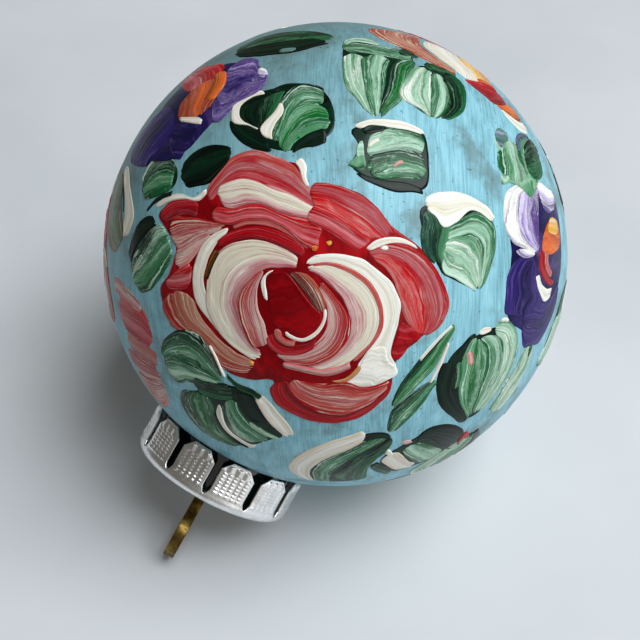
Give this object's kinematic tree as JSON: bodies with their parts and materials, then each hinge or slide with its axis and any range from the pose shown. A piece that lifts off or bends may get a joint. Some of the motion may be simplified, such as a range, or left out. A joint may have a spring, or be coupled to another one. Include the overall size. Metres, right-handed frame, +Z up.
{
  "type": "glass ball ornament",
  "caption": "Hand-painted glass ball ornament with roses, pansies and leaves, a stamped metal cap and a brass hanger.",
  "frame": {"origin": "centre of the hanger's eye", "axes": "+Z up along the ornament's axis as it hangs, from the ball through the hanger; -Y faces the front rose; +X runs along the axis of the hanger's eye"},
  "size_m": [0.0808, 0.081, 0.1025],
  "materials": {
    "hanger_brass": "aged satin",
    "cap_metal": "bright stamped",
    "dark_glass": "gloss bottle green, nearly black",
    "ground_paint": "brushed acrylic under clear varnish",
    "rose_paint": "thick streaked acrylic under clear varnish",
    "leaf_paint": "thick streaked acrylic under clear varnish",
    "pansy_paint": "thick streaked acrylic under clear varnish"
  },
  "bodies": {
    "hanger": {"hanger": "hanger_brass"},
    "cap": {"cap": "cap_metal"},
    "ball": {"glass_ball": "dark_glass", "ground_coat": "ground_paint", "front_rose": "rose_paint", "side_rose": "rose_paint", "back_rose": "rose_paint", "bottom_rose": "rose_paint", "left_pansy": "pansy_paint", "right_pansy": "pansy_paint", "back_pansy": "pansy_paint", "leaves_under_rose": "leaf_paint", "fan_leaves": "leaf_paint", "right_leaf": "leaf_paint", "slim_leaf": "leaf_paint", "pale_leaf": "leaf_paint", "neck_leaves": "leaf_paint", "cap_leaves": "leaf_paint", "left_leaves": "leaf_paint", "low_leaves": "leaf_paint", "back_leaves": "leaf_paint"}
  },
  "joints": [
    {"name": "swivel", "type": "hinge", "parent": "hanger", "child": "cap", "pos_m": [0, 0, 0], "axis": [0, 0, 1], "continuous": true},
    {"name": "ball_pull", "type": "slide", "parent": "cap", "child": "ball", "axis": [0, 0, -1], "range_m": [0, 0.022]}
  ]
}
